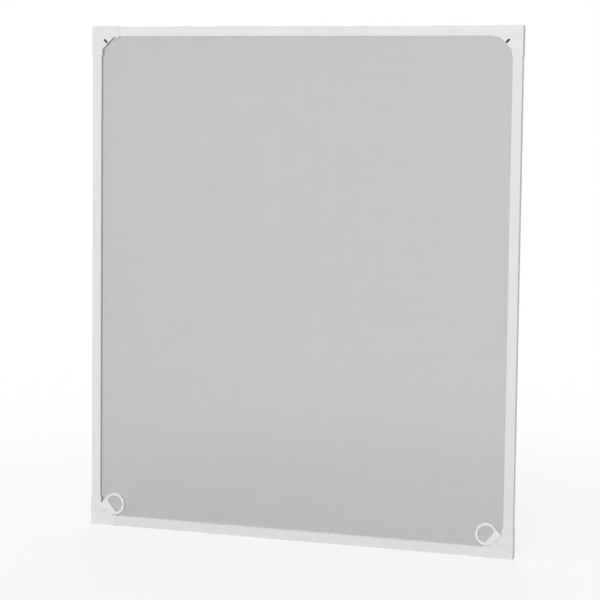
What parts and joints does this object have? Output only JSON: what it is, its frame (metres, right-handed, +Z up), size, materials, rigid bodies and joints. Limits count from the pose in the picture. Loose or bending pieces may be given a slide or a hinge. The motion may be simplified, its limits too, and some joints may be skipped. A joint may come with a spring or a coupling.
{
  "type": "window insect screen",
  "caption": "White window insect screen: extruded profiles joined by moulded corners, grey gauze held by spline cord behind, brush seals at the back and finger rings on the lower corners.",
  "frame": {"origin": "the middle of the screen, on the plane of the window's face that the tips of the brush strips meet", "axes": "+Z up, +X to the right seen from the front, +Y towards the window, so the visible front faces -Y"},
  "size_m": [0.8016, 0.0193, 0.9136],
  "materials": {
    "powder_coat": "satin",
    "corner_plastic": "satin",
    "ring_plastic": "satin",
    "gauze": "matte",
    "spline_rubber": "matte",
    "brush_pile": "matte"
  },
  "bodies": {
    "root": {"profile_bottom": "powder_coat", "profile_left": "powder_coat", "profile_right": "powder_coat", "profile_top": "powder_coat", "corner_bottom_left": "corner_plastic", "corner_bottom_right": "corner_plastic", "corner_top_left": "corner_plastic", "corner_top_right": "corner_plastic", "pull_ring_left": "ring_plastic", "pull_ring_right": "ring_plastic", "gauze": "gauze", "spline_bottom": "spline_rubber", "spline_left": "spline_rubber", "spline_right": "spline_rubber", "spline_top": "spline_rubber", "brush_seal_bottom": "brush_pile", "brush_seal_left": "brush_pile", "brush_seal_right": "brush_pile", "brush_seal_top": "brush_pile"}
  },
  "joints": []
}
